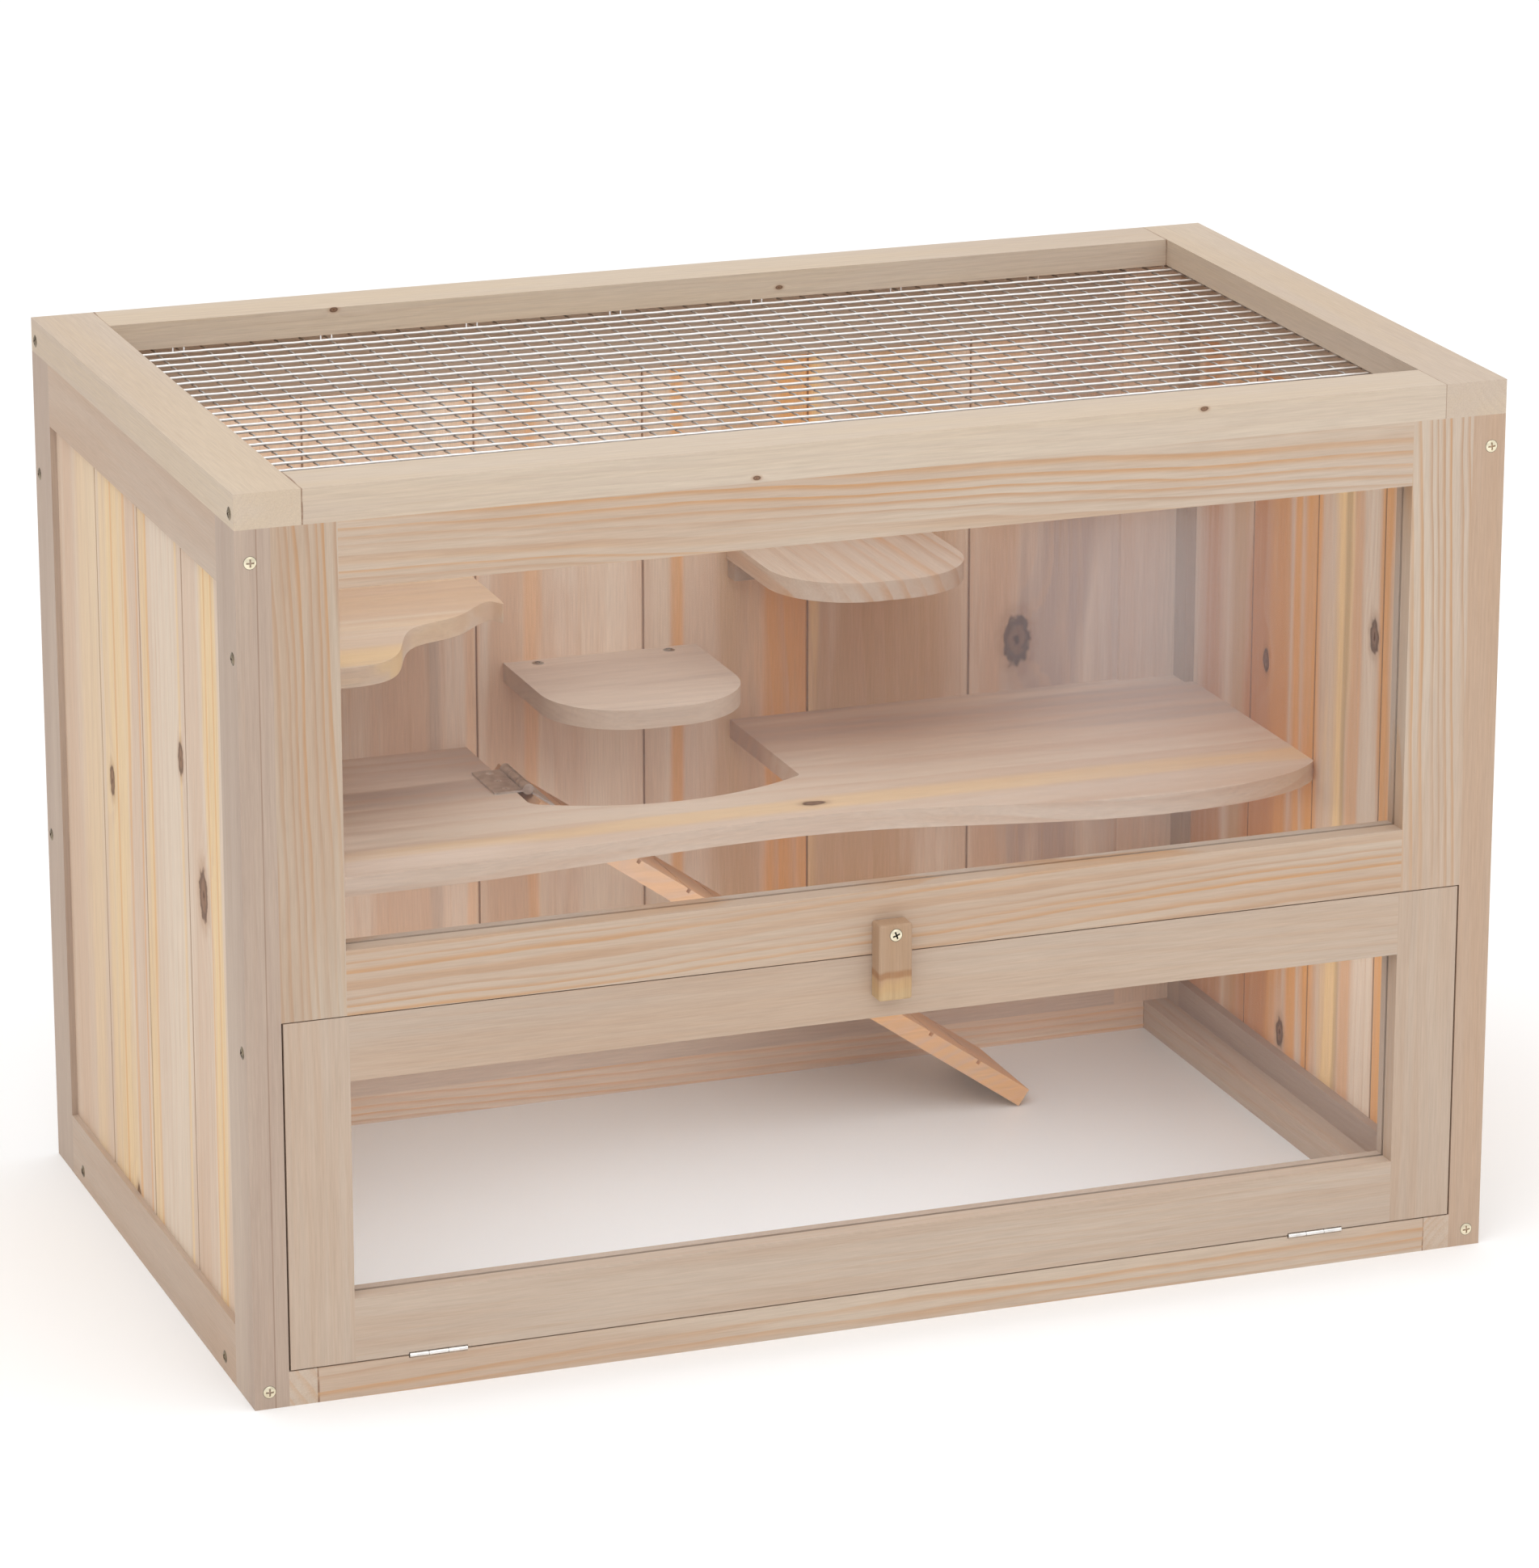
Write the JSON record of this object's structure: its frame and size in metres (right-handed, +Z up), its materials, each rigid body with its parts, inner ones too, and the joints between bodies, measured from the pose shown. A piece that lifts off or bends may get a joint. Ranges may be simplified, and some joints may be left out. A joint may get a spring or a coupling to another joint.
{
  "type": "hamster cage",
  "caption": "Wooden small-animal cage with boarded sides, glazed front, drop-down glazed door, hinged wire-mesh lid, inner ramp and shelves.",
  "frame": {"origin": "middle of the cage's footprint, on the surface it stands on", "axes": "+X along the front to the right, +Y from the front to the back, +Z up"},
  "size_m": [0.6014, 0.3653, 0.42],
  "materials": {
    "panel_wood": "planed pale softwood, unvarnished",
    "board_wood": "planed tongued softwood boards with knots",
    "door_wood": "planed pale softwood, quiet grain",
    "lid_wood": "planed pale softwood with small knots",
    "shelf_wood": "planed pale softwood, eased edges",
    "button_wood": "planed softwood with a red growth ring",
    "acrylic": "clear acrylic sheet",
    "floor_white": "smooth white laminated sheet",
    "mesh_wire": "bright galvanised wire",
    "steel": "zinc-plated steel",
    "brass": "pale yellow-passivated screws",
    "dark_brass": "darkened yellow-passivated screws"
  },
  "bodies": {
    "case": {"left_front_stile": "panel_wood", "left_back_stile": "panel_wood", "left_top_rail": "panel_wood", "left_bottom_rail": "panel_wood", "left_boards": "board_wood", "right_front_stile": "panel_wood", "right_back_stile": "panel_wood", "right_top_rail": "panel_wood", "right_bottom_rail": "panel_wood", "right_boards": "board_wood", "back_left_stile": "panel_wood", "back_right_stile": "panel_wood", "back_top_rail": "panel_wood", "back_bottom_rail": "panel_wood", "back_board_1": "board_wood", "back_board_2": "board_wood", "back_board_3": "board_wood", "back_board_4": "board_wood", "back_board_5": "board_wood", "back_board_6": "board_wood", "front_left_stile": "panel_wood", "front_right_stile": "panel_wood", "front_top_rail": "panel_wood", "front_bottom_rail": "panel_wood", "front_window": "acrylic", "floor_left_rail": "panel_wood", "floor_right_rail": "panel_wood", "floor_front_rail": "panel_wood", "floor_back_rail": "panel_wood", "floor_sheet": "floor_white", "main_platform": "shelf_wood", "corner_platform": "shelf_wood", "low_perch": "shelf_wood", "high_perch": "shelf_wood", "shelf_cleats": "shelf_wood", "lid_hinge_case_leaves": "steel", "door_hinge_floor_leaves": "steel", "ramp_hinge_top_leaf": "steel", "fitting_screws": "steel", "side_screws": "dark_brass", "front_screws": "brass"},
    "lid": {"lid_left_rail": "lid_wood", "lid_right_rail": "lid_wood", "lid_front_rail": "lid_wood", "lid_back_rail": "lid_wood", "lid_mesh": "mesh_wire", "lid_staples": "steel", "lid_hinge_lid_leaves": "steel", "lid_screws": "dark_brass"},
    "door": {"door_left_stile": "door_wood", "door_right_stile": "door_wood", "door_top_rail": "door_wood", "door_bottom_rail": "door_wood", "door_window": "acrylic", "door_hinge_door_leaves": "steel", "door_screws": "steel"},
    "turn_button": {"turn_button": "button_wood"},
    "ramp": {"ramp_board": "shelf_wood", "ramp_hinge_ramp_leaf": "steel", "ramp_screws": "steel"}
  },
  "joints": [
    {"name": "lid_hinge", "type": "hinge", "parent": "case", "child": "lid", "pos_m": [0, 0.1776, 0.404], "axis": [-1, 0, 0], "range_deg": [0, 110]},
    {"name": "door_hinge", "type": "hinge", "parent": "case", "child": "door", "pos_m": [0, -0.175, 0.0167], "axis": [1, 0, 0], "range_deg": [0, 95]},
    {"name": "button_turn", "type": "hinge", "parent": "case", "child": "turn_button", "pos_m": [0, -0.175, 0.191], "axis": [0, -1, 0], "continuous": true},
    {"name": "ramp_hinge", "type": "hinge", "parent": "case", "child": "ramp", "pos_m": [-0.0862, 0.1, 0.191], "axis": [0, -1, 0], "range_deg": [0, 30]}
  ]
}
